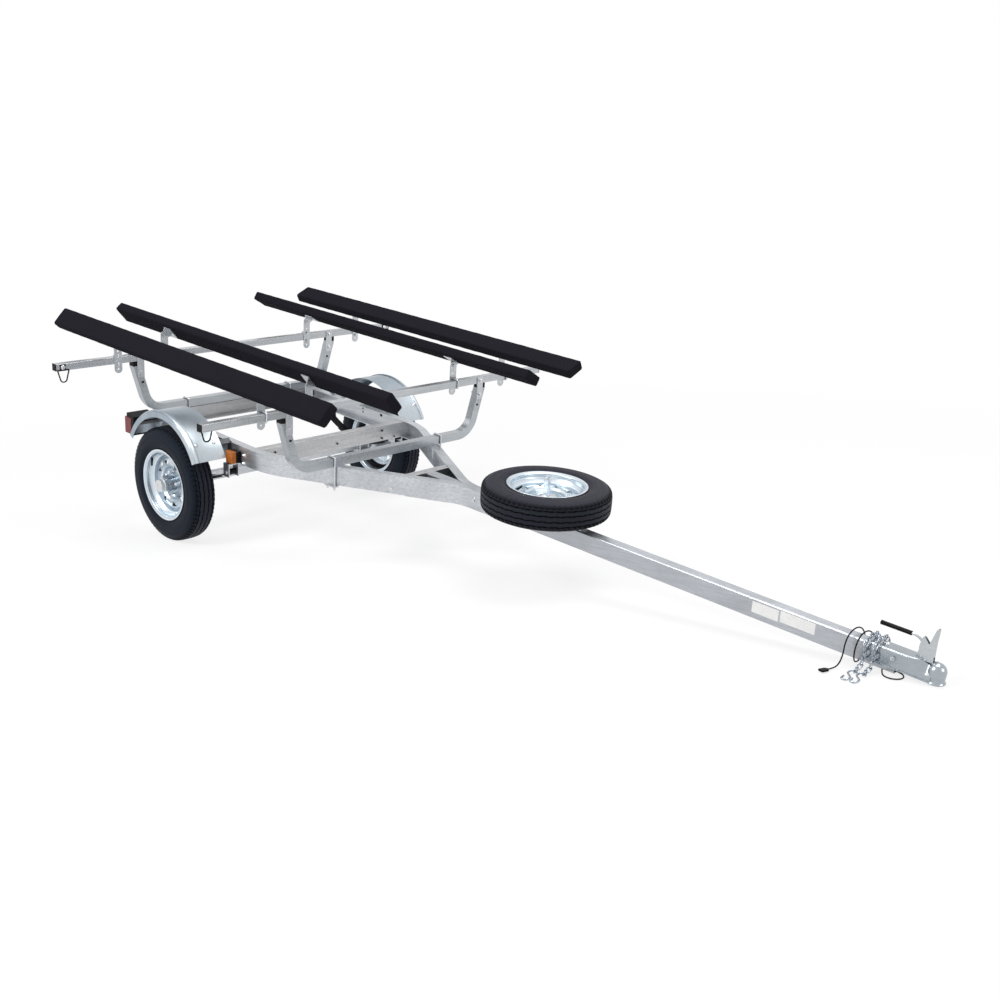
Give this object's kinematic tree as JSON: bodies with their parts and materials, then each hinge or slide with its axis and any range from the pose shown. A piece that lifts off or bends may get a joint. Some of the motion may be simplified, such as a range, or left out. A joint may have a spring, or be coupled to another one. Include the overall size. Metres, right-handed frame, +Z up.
{
  "type": "boat trailer",
  "caption": "Galvanised single-axle boat trailer with tilting carpeted bunk boards, a spare wheel on the tongue and a ball coupler that rests on the floor.",
  "frame": {"origin": "floor point below the middle of the whole trailer, parked with its nose down", "axes": "+X forward to the coupler, +Y to the left side, +Z up; the trailer is pitched 7.07 degrees nose down"},
  "size_m": [4.2, 1.942, 1.0335],
  "materials": {
    "galvanised": "spangled zinc coat on steel, softly grey",
    "zinc": "bright zinc plating",
    "wheel_metal": "galvanised wheel, bright with faint spangle",
    "black_plastic": "moulded black plastic",
    "red_lens": "clear red lens, ribbed inside",
    "amber_lens": "clear amber lens, ribbed inside",
    "black_steel": "satin black paint",
    "tyre_rubber": "matt black tyre rubber",
    "carpet": "short black marine carpet over a board",
    "cord_sheath": "black wiring sheath"
  },
  "bodies": {
    "frame": {"axle": "galvanised", "bar_clamps": "galvanised", "bunk_strips": "galvanised", "chain_bolts": "zinc", "chain_hooks": "zinc", "coupler": "zinc", "coupler_latch": "zinc", "crossbar_caps": "black_plastic", "crossbar_front": "galvanised", "crossbar_rear": "galvanised", "crossmember_front": "galvanised", "crossmember_middle": "galvanised", "crossmember_rear": "galvanised", "fender_arms": "galvanised", "fender_left": "galvanised", "fender_right": "galvanised", "gusset_plate": "galvanised", "latch_grip": "black_plastic", "leaf_springs": "black_steel", "marker_bases": "black_plastic", "marker_lenses": "amber_lens", "rail_left": "galvanised", "rail_right": "galvanised", "safety_chain": "zinc", "spare_carrier": "galvanised", "spare_rim": "wheel_metal", "spare_tyre": "tyre_rubber", "spring_clamps": "galvanised", "spring_hangers": "galvanised", "stand_front": "galvanised", "stand_plugs": "black_plastic", "stand_rear": "galvanised", "stand_straps": "galvanised", "stand_ubolts": "galvanised", "tail_lamps": "black_plastic", "tail_lenses": "red_lens", "tie_rings": "black_steel", "tongue": "galvanised", "wiring_cord": "cord_sheath", "wiring_plug": "black_plastic"},
    "wheel_right": {"hub_right": "zinc", "rim_right": "wheel_metal", "tyre_right": "tyre_rubber"},
    "wheel_left": {"hub_left": "zinc", "rim_left": "wheel_metal", "tyre_left": "tyre_rubber"},
    "bunk_1": {"bunk_board_1": "carpet", "bunk_bracket_1": "galvanised"},
    "bunk_2": {"bunk_board_2": "carpet", "bunk_bracket_2": "galvanised"},
    "bunk_3": {"bunk_board_3": "carpet", "bunk_bracket_3": "galvanised"},
    "bunk_4": {"bunk_board_4": "carpet", "bunk_bracket_4": "galvanised"}
  },
  "joints": [
    {"name": "roll_right", "type": "hinge", "parent": "frame", "child": "wheel_right", "pos_m": [-1.38029, -0.619, 0.2655], "axis": [0, 1, 0], "continuous": true},
    {"name": "roll_left", "type": "hinge", "parent": "frame", "child": "wheel_left", "pos_m": [-1.38029, 0.619, 0.2655], "axis": [0, 1, 0], "continuous": true},
    {"name": "tilt_1", "type": "hinge", "parent": "frame", "child": "bunk_1", "pos_m": [-1.12268, -0.668, 0.83108], "axis": [0.9924, 0, -0.1231], "range_deg": [-103, 7]},
    {"name": "tilt_2", "type": "hinge", "parent": "frame", "child": "bunk_2", "pos_m": [-1.12194, -0.426, 0.83704], "axis": [0.9924, 0, -0.1231], "range_deg": [-5, 105]},
    {"name": "tilt_3", "type": "hinge", "parent": "frame", "child": "bunk_3", "pos_m": [-1.12354, 0.407, 0.82414], "axis": [0.9924, 0, -0.1231], "range_deg": [-24, 86]},
    {"name": "tilt_4", "type": "hinge", "parent": "frame", "child": "bunk_4", "pos_m": [-1.12318, 0.731, 0.82711], "axis": [0.9924, 0, -0.1231], "range_deg": [-80.5, 29.5]}
  ]
}
